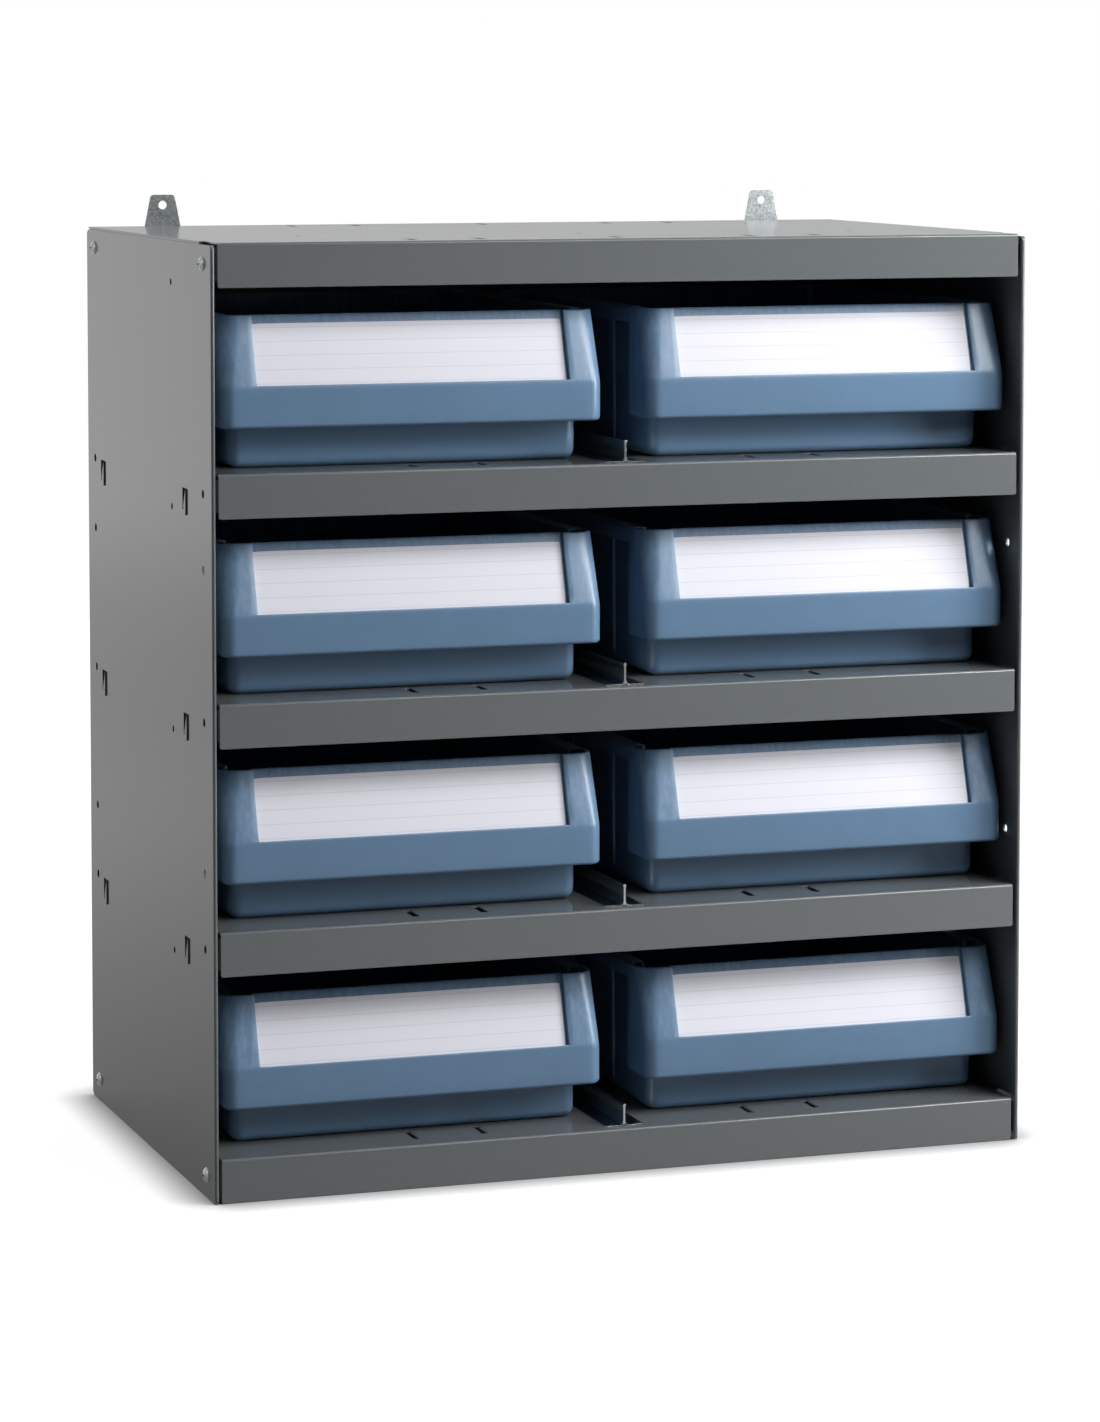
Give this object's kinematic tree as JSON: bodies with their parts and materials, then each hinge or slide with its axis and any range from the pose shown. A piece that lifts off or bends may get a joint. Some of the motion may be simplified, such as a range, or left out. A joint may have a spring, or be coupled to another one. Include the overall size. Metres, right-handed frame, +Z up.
{
  "type": "parts bin cabinet",
  "caption": "Open-fronted sheet-steel cabinet of shelves with two columns of sliding plastic storage bins, each with a label recess, and rear tabs for hanging it on a wall.",
  "frame": {"origin": "middle of the footprint on the surface the cabinet stands on, rivet heads at the rear included", "axes": "+Z up, the open front faces -Y, +X to the right when seen from the front"},
  "size_m": [0.5172, 0.313, 0.58],
  "materials": {
    "grey_steel": "satin powder coat",
    "zinc": "zinc plated, faint spangle",
    "blue_plastic": "moulded polypropylene, satin",
    "label_card": "white card with faint dotted writing lines"
  },
  "bodies": {
    "cabinet": {"left_side_panel": "grey_steel", "right_side_panel": "grey_steel", "back_panel": "grey_steel", "top_panel": "grey_steel", "bottom_panel": "grey_steel", "shelf_1": "grey_steel", "shelf_2": "grey_steel", "shelf_3": "grey_steel", "divider_1": "zinc", "divider_2": "zinc", "divider_3": "zinc", "divider_4": "zinc", "left_wall_tab": "zinc", "right_wall_tab": "zinc", "side_screws": "zinc", "side_nuts": "zinc", "back_rivets": "zinc", "tab_rivets": "zinc"},
    "left_bin_1": {"bin_left_1": "blue_plastic", "label_left_1": "label_card"},
    "left_bin_2": {"bin_left_2": "blue_plastic", "label_left_2": "label_card"},
    "left_bin_3": {"bin_left_3": "blue_plastic", "label_left_3": "label_card"},
    "left_bin_4": {"bin_left_4": "blue_plastic", "label_left_4": "label_card"},
    "right_bin_1": {"bin_right_1": "blue_plastic", "label_right_1": "label_card"},
    "right_bin_2": {"bin_right_2": "blue_plastic", "label_right_2": "label_card"},
    "right_bin_3": {"bin_right_3": "blue_plastic", "label_right_3": "label_card"},
    "right_bin_4": {"bin_right_4": "blue_plastic", "label_right_4": "label_card"}
  },
  "joints": [
    {"name": "left_bin_1_slide", "type": "slide", "parent": "cabinet", "child": "left_bin_1", "axis": [0, -1, 0], "range_m": [0, 0.28]},
    {"name": "left_bin_2_slide", "type": "slide", "parent": "cabinet", "child": "left_bin_2", "axis": [0, -1, 0], "range_m": [0, 0.28]},
    {"name": "left_bin_3_slide", "type": "slide", "parent": "cabinet", "child": "left_bin_3", "axis": [0, -1, 0], "range_m": [0, 0.28]},
    {"name": "left_bin_4_slide", "type": "slide", "parent": "cabinet", "child": "left_bin_4", "axis": [0, -1, 0], "range_m": [0, 0.28]},
    {"name": "right_bin_1_slide", "type": "slide", "parent": "cabinet", "child": "right_bin_1", "axis": [0, -1, 0], "range_m": [0, 0.28]},
    {"name": "right_bin_2_slide", "type": "slide", "parent": "cabinet", "child": "right_bin_2", "axis": [0, -1, 0], "range_m": [0, 0.28]},
    {"name": "right_bin_3_slide", "type": "slide", "parent": "cabinet", "child": "right_bin_3", "axis": [0, -1, 0], "range_m": [0, 0.28]},
    {"name": "right_bin_4_slide", "type": "slide", "parent": "cabinet", "child": "right_bin_4", "axis": [0, -1, 0], "range_m": [0, 0.28]}
  ]
}
